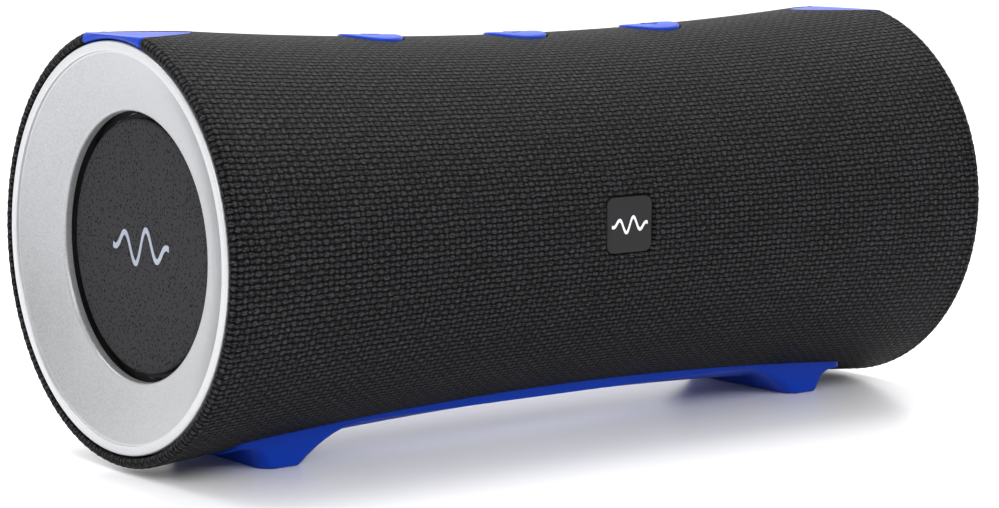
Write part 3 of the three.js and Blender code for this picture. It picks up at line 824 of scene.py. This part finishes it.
def make_sleeve():
    flat, faces = cloth_map()
    q, phi = flat[:, 0], flat[:, 1] / MEAN_RADIUS
    distance = openings_distance(q, phi)
    u = q / CELL_X
    v = phi / (2 * math.pi) * ROWS
    fade = np.clip((np.abs(q) - RIM_X + END_BAND) / 2, 0, 1)
    relief = (1 - weave_height(u, v)) * RELIEF * fade
    drop = rolled(distance, HEM)
    top = np.column_stack(around(*cloth_line(q, drop + relief), phi))
    under = np.column_stack(around(*cloth_line(q, np.full(len(q), CLOTH + HEM)), phi))
    points, shapes = closed_between(top, under, faces)
    map_uv = np.tile(np.column_stack([u, v]), (2, 1))
    made = (points, shapes, "cloth", "body", ["fabric_sleeve"], "fabric", map_uv)
    sleeve = piece("cloth_sleeve", *made)


# ---- Ends ----
OPENING_RADIUS = 29.6
DISH_DEPTH = 5.0
DISC_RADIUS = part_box("radiator_cap_right")[1].y / MM
DISC_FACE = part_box("radiator_cap_right")[1].x / MM
DISC_BACK = DISC_FACE - 2
COLLAR = (27.4, 29.1)  # inner and outer radius of the rubber collar behind the disc
COLLAR_BACK = DISC_BACK - 2.2


def ring_profile():
    """The silver ring: an outer band, a small step, and a dish that rolls into the hole."""
    band = RING_RADIUS - BAND_WIDTH
    hole_x = HALF - DISH_DEPTH
    hole_back = hole_x - 1.9
    ring_back = HALF - 3.9
    dish_start = np.array([HALF - 0.9, band - 0.5])
    dish_end = np.array([hole_x + 0.25, OPENING_RADIUS + 1.3])
    sag = np.array([-0.35, 0])
    dish = []
    for i in range(15):
        t = i / 14
        dish.append(tuple(dish_start + (dish_end - dish_start) * t + sag * 4 * t * (1 - t)))
    return [
        (ring_back, RING_RADIUS),
        *arc((HALF - 0.6, RING_RADIUS - 0.6), 0.6, 90, 0),
        *arc((HALF - 0.3, band + 0.3), 0.3, 0, -80),
        (HALF - 0.75, band - 0.05),
        *dish,
        *arc((hole_x - 0.7, OPENING_RADIUS + 0.9), 0.9, -10, -90),
        (hole_back, OPENING_RADIUS),
        (hole_back, OPENING_RADIUS + 1.4),
        (ring_back, 42),
        (ring_back, RING_RADIUS),
    ]


def ribbon(rows):
    """A closed bar from the four rows of points along its edges."""
    count = len(rows[0])
    faces = strips(count, 4, closed=False)
    faces += [(3 * count + i, 3 * count + i + 1, i + 1, i) for i in range(count - 1)]
    faces += [tuple(k * count for k in (3, 2, 1, 0))]
    faces += [tuple(k * count + count - 1 for k in (0, 1, 2, 3))]
    return np.vstack(rows), faces


def wave_mark(width, height, thick, place, proud=0.12):
    """A generic wave symbol as a thin raised ribbon. place(u, v, up) gives its points."""
    u = np.linspace(-width / 2, width / 2, 96)
    envelope = np.cos(u / width * math.pi * 0.92)
    middle = height / 2 * envelope * np.sin(u / width * 2 * math.pi * 2.5)
    slope = np.gradient(middle, u)
    half = thick / 2 * np.sqrt(1 + slope**2) ** 0.6
    rows = []
    for v, up in [(half, -0.1), (half, proud), (-half, proud), (-half, -0.1)]:
        rows.append(np.column_stack(place(u, middle + v, np.full(len(u), up))))
    return ribbon(rows)


DISC_MARK = (23, 8.0, 1.25)  # width, height and stroke
BADGE_MARK = (10.6, 3.6, 0.72)


def make_ends():
    for where, side in SIDES:
        ring = mirrored(lathe(ring_profile(), 200), side)
        name = f"silver_ring_{where}"
        piece(name, *ring, "silver", "body", [f"end_ring_{where}"], "silver_ring")
        body = f"radiator_{where}"
        face = [
            (DISC_BACK, 0.6),
            (DISC_BACK, DISC_RADIUS),
            *arc((DISC_FACE - 0.7, DISC_RADIUS - 0.7), 0.7, 90, 0),
            (DISC_FACE, DISC_RADIUS * 0.66),
            (DISC_FACE, DISC_RADIUS * 0.33),
            (DISC_FACE, 0.6),
        ]
        disc = mirrored(lathe(face, 160), side)
        name = f"radiator_disc_{where}"
        piece(name, *disc, "charcoal", body, [f"radiator_cap_{where}"], "radiator_grey")
        inner, outer = COLLAR
        profile = [
            (COLLAR_BACK, inner),
            (COLLAR_BACK, outer),
            *arc((DISC_BACK - 0.5, outer - 0.5), 0.5, 90, 0),
            (DISC_BACK, inner),
            (COLLAR_BACK, inner),
        ]
        collar = mirrored(lathe(profile, 120), side)
        piece(f"rubber_collar_{where}", *collar, "rubber", body, slot="surround_rubber")

        def on_disc(u, v, up, side=side):
            return side * (DISC_FACE + up), u * side, v

        mark = wave_mark(*DISC_MARK, on_disc)
        piece(f"disc_mark_{where}", *mark, "print", body)


# ---- Base ----
BASE_SIZE = node_size("base", (0, 1), 0)
BASE_PROUD = 0.6
BASE_WALL = 1.4  # the base reaches this far in under the cloth's surface
FOOT_X = middle_x("foot_pad_right")
FOOT_INNER = FOOT_X - 6.0  # the foot's ends along X, at the ground
FOOT_OUTER = FOOT_X + 4.9
FOOT_BOTTOM = GROUND + 0.15
STRIP_LOWEST = GROUND + 1.5
FLARE_TOP = -40.6  # where the inner flare runs out under the strip
FLARE_REACH = 20.0
TIP_UNDER = -43.5
FLARE_POWERS = (2.1, 4.0)  # the inner flare is a long arch, the outer one a tight curve
FOOT_CORNER = 3.6  # seen from below


def smooth_low(a, b, blend):
    """The lower of two heights, with a fillet between them."""
    share = np.clip(0.5 + (b - a) / (2 * blend), 0, 1)
    return b * (1 - share) + a * share - blend * share * (1 - share)


def base_under(x, y):
    """Height of the underside of the base: a curved strip, and two feet that flare into it."""
    strip = -np.sqrt((radius_at(x) + BASE_PROUD) ** 2 - y**2)
    strip = -smooth_low(-strip, np.full_like(strip, -STRIP_LOWEST), blend=0.25)
    along = np.abs(x)
    beside = np.clip(np.abs(y) - BASE_SIZE[1] / 2 + FOOT_CORNER, 0, FOOT_CORNER)
    rounding = FOOT_CORNER - np.sqrt(FOOT_CORNER**2 - beside**2)
    inner = 1 - np.clip((FOOT_INNER + rounding - along) / FLARE_REACH, 0, 1)
    outer_end = FOOT_OUTER - rounding
    outer = 1 - np.clip((along - outer_end) / (BASE_SIZE[0] / 2 - outer_end), 0, 1)
    is_outer = along > FOOT_X
    top = np.where(is_outer, TIP_UNDER, FLARE_TOP)
    share = np.where(is_outer, outer ** FLARE_POWERS[1], inner ** FLARE_POWERS[0])
    return smooth_low(strip, top + (FOOT_BOTTOM - top) * share, blend=0.4)


def make_base():
    def front(u, v, drop):
        return u, v, base_under(u, v) + drop

    def back(u, v):
        return u, v, -np.sqrt((radius_at(u) - BASE_WALL) ** 2 - v**2)

    outline = Outline(BASE_SIZE, BASE_CORNER, step=0.8)
    made = flip(slab(outline, front, back, roll=0.45, spacing=0.8))
    piece("blue_base", *made, "blue", "body", replaces=["base"], slot="blue_rubber")
    pad_size = node_size("foot_pad_right", (0, 1), 0)
    for where, side in SIDES:
        shape = Outline(pad_size, FOOT_CORNER, (side * FOOT_X, 0), step=0.7)

        def pad_face(u, v, drop):
            return u, v, GROUND + drop + 0 * u

        def pad_back(u, v):
            return u, v, FOOT_BOTTOM + 0.5 + 0 * u

        pad = flip(slab(shape, pad_face, pad_back, roll=0.25, spacing=1.5))
        piece(f"rubber_foot_{where}", *pad, "blue", "body", [f"foot_pad_{where}"], "pad_rubber")


# ---- Top ----
KEY_PROUD = 0.5
KEY_DEPTH = 4.4
STEM_RADIUS = 2.4
TAB_SUNK = 0.2  # the cloth's edge stands this much proud of the tab
TAB_THICK = 1.3


def make_tabs():
    """Each tab is a level facet that narrows to a tip, and rolls over the rim with the cloth."""
    start = TAB_TIP + 0.05
    flare = start + (RIM_X - start) * np.linspace(0, 1, 29) ** 2
    roll = np.linspace(RIM_X, RIM_X + LIP_LENGTH + TURN_LENGTH + 1.5, 21)[1:]
    stations = np.concatenate([flare, roll])
    count = 61
    across = np.sin(np.linspace(-math.pi / 2, math.pi / 2, count))
    q, v = (part.ravel() for part in np.meshgrid(stations, across, indexing="ij"))
    half = np.sqrt(radius_at(np.minimum(q, RIM_X)) ** 2 - TAB_FLAT**2) - 0.1
    y = v * half
    edge_drop = rolled((1 - np.abs(v)) * half, 0.4)

    def surface(depth):
        x, r = cloth_line(q, depth)
        z = np.sqrt(r**2 - y**2)
        level = TAB_FLAT - TAB_SUNK - depth + 0 * z
        return np.column_stack([x, y, smooth_low(z, level, blend=0.25)])

    quads = np.array(strips(count, len(stations), closed=False))
    faces = np.vstack([quads[:, [0, 1, 2]], quads[:, [0, 2, 3]]])[:, ::-1]
    tab = closed_between(surface(edge_drop), surface(np.full(len(q), TAB_THICK)), faces)
    for where, side in SIDES:
        turned = mirrored(tab, side)
        piece(f"blue_tab_{where}", *turned, "blue", "body", [f"top_tab_{where}"], "blue_rubber")


def key_top(u, v, up):
    r = radius_at(u) + KEY_PROUD + up
    return u, v, np.sqrt(r**2 - v**2)


def key_symbol(key):
    """Plus, minus or triangle outlines, as lists of corner points about the key's middle."""
    long, thin = 2.4, 0.45
    bar = [(-long, -thin), (long, -thin), (long, thin), (-long, thin)]
    arm = [(thin, -long), (thin, -thin), (long, -thin)]
    plus = []
    for _ in range(4):
        plus += arm
        arm = [(-v, u) for u, v in arm]
    triangle = [(-1.7, -2.1), (2.1, 0), (-1.7, 2.1)]
    return {"volume_down": bar, "volume_up": plus, "play": triangle}[key]


def raised(corners, place, proud):
    """A flat-topped prism standing on a surface."""
    u, v = np.array(corners, float).T
    count = len(corners)
    low = np.column_stack(place(u, v, np.full(count, -0.3)))
    shoulder = np.column_stack(place(u, v, np.full(count, proud * 0.7)))
    middle = np.array([u.mean(), v.mean()])
    u2, v2 = (np.column_stack([u, v]) * 0.96 + middle * 0.04).T
    high = np.column_stack(place(u2, v2, np.full(count, proud)))
    faces = strips(count, 3)
    faces += [tuple(reversed(range(count))), tuple(2 * count + i for i in range(count))]
    return np.vstack([low, shoulder, high]), faces


STEM_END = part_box("key_board")[1].z / MM - AXIS_HEIGHT + 1.1  # clear of its switch


def make_keys():
    for key in KEYS:
        shape = circle(KEY_RADIUS, (KEY_X[key], 0))

        def face(u, v, drop):
            return key_top(u, v, -drop)

        def bottom(u, v):
            return key_top(u, v, -KEY_DEPTH)

        body = slab(shape, face, bottom, roll=0.6, spacing=1.0)
        profile = [(STEM_END, STEM_RADIUS), (STEM_END + 3, STEM_RADIUS)]
        stem = lathe(profile, 32, "z", (KEY_X[key], 0))

        def on_key(u, v, up, x=KEY_X[key]):
            return key_top(u + x, v, up)

        mark = raised(key_symbol(key), on_key, 0.1)
        made = joined(body, stem, mark)
        piece(f"{key}_button", *made, "blue", key, [f"{key}_key"], "blue_rubber")


# ---- Front badge ----
def make_badge():
    low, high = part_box("front_badge")
    face_y, back_y = low.y / MM, high.y / MM
    shape = Outline(node_size("front_badge", (0, 2), 0), BADGE_CORNER, (0, BADGE_Z), step=0.7)

    def face(u, v, drop):
        return u, face_y + drop + 0 * u, v

    def back(u, v):
        return u, back_y + 0 * u, v

    plate = slab(shape, face, back, roll=0.3, spacing=1.2)
    piece("badge_plate", *plate, "badge", "body", ["front_badge"], "badge_grey")

    def on_badge(u, v, up):
        return u, face_y - up + 0 * u, v + BADGE_Z

    piece("badge_mark", *wave_mark(*BADGE_MARK, on_badge, 0.06), "white", "body")


# ---- Rear panel ----
PANEL_SIZE = node_size("port_panel", (0, 2), 0)
COVER_X = middle_x("port_cover")
COVER_SIZE = node_size("port_cover", (0, 2), 0)
BAY_SIZE = (40.0, 11.0)
BAY_FLOOR = 34.5
BUTTON_RADIUS = 5.2
BUTTONS = {name: middle_x(f"{name}_button") for name in ("power", "pairing")}
LIGHT_X = middle_x("status_light")
CHARGE_X = middle_x("charge_socket")
AUX_X = middle_x("aux_socket")
BAY_CORNER = 2.2
COVER_CORNER = 3.0
LIGHT_HOLE = 1.45  # radius
AUX_HOLE = 3.3  # radius
CHARGE_HOLE = (9.6, 3.8)
PANEL_WALL = 1.4
LEDGE_BACK = 2.6
PRINT_PROUD = 0.3
NECK_END = 37.5  # inner end of the sleeve round each button, from the axis
COVER_GROWTH = 0.6  # the cover's recess is this much larger than the cover


def rear_surface(u, v, depth):
    return u, np.sqrt((radius_at(u) - depth) ** 2 - v**2), v


def rear_at(depth):
    return lambda u, v: rear_surface(u, v, depth)


def wall(outline, near, far):
    """The inside wall of a hollow between two depths; near and far give its edges."""
    u, v = outline.loop().T
    rows = [np.column_stack(near(u, v)), np.column_stack(far(u, v))]
    return np.vstack(rows), strips(len(u), 2)


def round_cover(size, grow, corner):
    """An outline about the cover's middle."""
    return Outline(tuple(s + grow for s in size), corner, (COVER_X, 0), step=0.8)


def make_panel():
    cover_hole = round_cover(COVER_SIZE, COVER_GROWTH, COVER_CORNER + 0.3)
    bay = round_cover(BAY_SIZE, 0, BAY_CORNER)
    holes = [circle(BUTTON_RADIUS + 0.3, (x, 0)) for x in BUTTONS.values()]
    light_hole = circle(LIGHT_HOLE, (LIGHT_X, 0), 0.4)
    face = slab(
        Outline(PANEL_SIZE, PANEL_CORNER, step=0.9),
        rear_surface,
        rear_at(PANEL_WALL),
        roll=0.35,
        spacing=1.6,
        holes=[cover_hole, *holes, light_hole],
    )
    ledge = slab(
        round_cover(COVER_SIZE, COVER_GROWTH + 1, COVER_CORNER + 0.8),
        lambda u, v, drop: rear_surface(u, v, PANEL_WALL + 0.02 + drop),
        rear_at(LEDGE_BACK),
        roll=0.15,
        spacing=1.6,
        holes=[bay],
    )

    def at_floor(u, v):
        return u, BAY_FLOOR + 0 * u, v

    bay_wall = wall(bay, rear_at(LEDGE_BACK - 0.1), at_floor)
    charge_hole = Outline(CHARGE_HOLE, 1.8, (CHARGE_X, 0), step=0.5)
    floor = slab(
        round_cover(BAY_SIZE, 1.0, BAY_CORNER + 0.5),
        lambda u, v, drop: (u, BAY_FLOOR - drop, v),
        lambda u, v: (u, BAY_FLOOR - 1.5 + 0 * u, v),
        roll=0.2,
        spacing=1.6,
        holes=[charge_hole, circle(AUX_HOLE, (AUX_X, 0), 0.5)],
    )
    necks = [
        wall(hole, rear_at(PANEL_WALL - 0.1), lambda u, v: (u, NECK_END + 0 * u, v))
        for hole in [*holes, light_hole]
    ]
    parts = [flip(face), flip(ledge), bay_wall, flip(floor), *necks]
    piece("rear_panel", *joined(*parts), "black", "body", ["port_panel"], "panel_plastic")


def make_cover():
    """The rubber cover: a thin plate, a grip lip at its top edge and a sealing rim behind it."""
    shape = round_cover(COVER_SIZE, 0, COVER_CORNER)

    def outer(u, v, drop):
        lip = 0.22 * np.clip((v - COVER_SIZE[1] / 2 + 3.2) / 1.2, 0, 1)
        return rear_surface(u, v, drop - 0.3 + lip)

    plate = slab(shape, outer, rear_at(1.0), roll=0.35, spacing=1.4)
    rim = slab(
        round_cover(BAY_SIZE, -1.6, 1.6),
        lambda u, v, drop: rear_surface(u, v, 3.4 - drop),
        rear_at(0.9),
        roll=0.3,
        spacing=1.2,
        holes=[round_cover(BAY_SIZE, -4.4, 1.0)],
    )
    made = joined(flip(plate), rim)
    piece("rubber_cover", *made, "rubber", "flap", ["port_cover"], "cover_rubber")


def make_rear_buttons():
    face_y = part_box("power_button")[1].y / MM
    hollow_y = face_y - 0.45
    for name, x in BUTTONS.items():
        profile = [
            (35.4, BUTTON_RADIUS - 1.6),
            (38.6, BUTTON_RADIUS),
            *arc((face_y - 0.9, BUTTON_RADIUS - 0.8), 0.8, 90, 10),
            (face_y - 0.35, BUTTON_RADIUS * 0.55),
            (hollow_y, BUTTON_RADIUS * 0.2),
            (hollow_y, 0.3),
        ]
        points, faces = lathe(profile, 72, "y")
        points[:, 0] += x

        def on_button(u, v, up, x=x):
            return u + x, face_y - 0.42 + up, v

        if name == "power":
            ring = arc_ribbon(1.75, 0.42, 125, 415, on_button)
            corners = [(0.21, 0.7), (0.21, 2.3), (-0.21, 2.3), (-0.21, 0.7)]
            bar = raised(corners, on_button, PRINT_PROUD)
            marks = [ring, bar]
        else:
            marks = [
                arc_ribbon(0.7, 0.42, 0, 360, on_button),
                arc_ribbon(1.75, 0.4, -55, 55, on_button),
                arc_ribbon(1.75, 0.4, 125, 235, on_button),
            ]
        made = joined((points, faces), *marks)
        piece(f"{name}_push", *made, "rubber", name, [f"{name}_button"], "cover_rubber")
    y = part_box("status_light")[1].y / MM
    dome = [(y - 3.0, 1.3), (y - 0.4, 1.3), *arc((y - 0.4, 0.9), 0.4, 90, 0, 4), (y, 0.1)]
    points, faces = lathe(dome, 32, "y")
    points[:, 0] += LIGHT_X
    piece("light_lens", points, faces, "lens", "body", ["status_light"], "light_lens")


def arc_ribbon(radius, thick, start, end, place):
    """A raised arc, in degrees."""
    angles = np.radians(np.linspace(start, end, 29))
    outer, inner = radius + thick / 2, radius - thick / 2
    rows = []
    for r, up in [(outer, -0.2), (outer, PRINT_PROUD), (inner, PRINT_PROUD), (inner, -0.2)]:
        u, v = r * np.cos(angles), r * np.sin(angles)
        rows.append(np.column_stack(place(u, v, np.full(len(u), up))))
    return ribbon(rows)


make_sleeve()
make_ends()
make_base()
make_tabs()
make_keys()
make_badge()
make_panel()
make_cover()
make_rear_buttons()

# ---- Pieces inside keep their CAD shapes ----
INSIDE = {
    "black": ["rear_housing", "front_grille", "front_baffle", "battery_tray", "aux_socket"],
    "steel": [],
    "rubber": [],
    "dark": [],
    "board": ["key_board", "main_board"],
    "cell": ["battery_cell_1", "battery_cell_2"],
    "plated": ["charge_socket"],
}
for where, _ in SIDES:
    INSIDE["black"].append(f"radiator_frame_{where}")
    for kind in ("driver_basket", "driver_magnet", "base_screw", "radiator_plate"):
        INSIDE["steel"].append(f"{kind}_{where}")
    INSIDE["steel"] += [f"radiator_screw_{where}_{i}" for i in (1, 2, 3)]
    INSIDE["rubber"] += [f"driver_surround_{where}", f"radiator_surround_{where}"]
    INSIDE["dark"].append(f"driver_cone_{where}")
for finish, names in INSIDE.items():
    for name in names:
        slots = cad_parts[name].data.materials
        slots.clear()
        slots.append(MATERIALS[finish])


# ---- Floor and light ----
def make_floor():
    finish = Finish("glossy_floor", Roughness=0.24, IOR=1.38)
    finish.shader.inputs["Base Color"].default_value = (0.93, 0.93, 0.95, 1)
    reach = 6.0
    corners = [(-reach, -reach, 0), (reach, -reach, 0), (reach, reach, 0), (-reach, reach, 0)]
    mesh = bpy.data.meshes.new("floor")
    mesh.from_pydata(corners, [], [(0, 1, 2, 3)])
    floor = bpy.data.objects.new("floor", mesh)
    mesh.materials.append(finish.material)
    bpy.context.scene.collection.objects.link(floor)


def softbox(name, place, aim, size, power):
    lamp = bpy.data.lights.new(name, "AREA")
    lamp.shape = "RECTANGLE"
    lamp.size, lamp.size_y = size
    lamp.energy = power
    made = bpy.data.objects.new(name, lamp)
    made.location = place
    made.rotation_euler = (Vector(aim) - Vector(place)).to_track_quat("-Z", "Y").to_euler()
    bpy.context.scene.collection.objects.link(made)


BACKDROP = (0.45, 0.88, 0.15)  # towards the white backdrop; the studio is dimmer opposite it
BACKDROP_LIGHT = 1.6
ROOM_LIGHT = 0.6


def make_light():
    world = bpy.data.worlds.new("studio")
    bpy.context.scene.world = world
    world.use_nodes = True
    tree = world.node_tree
    towards = tree.nodes.new("ShaderNodeVectorMath")
    towards.operation = "DOT_PRODUCT"
    towards.inputs[1].default_value = BACKDROP
    place = tree.nodes.new("ShaderNodeTexCoord")
    tree.links.new(place.outputs["Generated"], towards.inputs[0])
    light = Field(tree, towards.outputs["Value"]).ramp(-0.5, 0.75, ROOM_LIGHT, BACKDROP_LIGHT)
    background = tree.nodes["Background"]
    background.inputs["Color"].default_value = (1, 1, 1, 1)
    tree.links.new(light.socket, background.inputs["Strength"])
    centre = (0, 0, AXIS_HEIGHT * MM)
    softbox("overhead", (0.1, 0.3, 0.9), centre, (1.0, 0.6), 9)
    softbox("left_side", (-0.9, -0.35, 0.45), centre, (0.5, 0.7), 2.5)
    softbox("front_fill", (-0.2, -0.9, 0.7), (0, -0.1, 0), (1.0, 0.5), 7)


make_floor()
make_light()
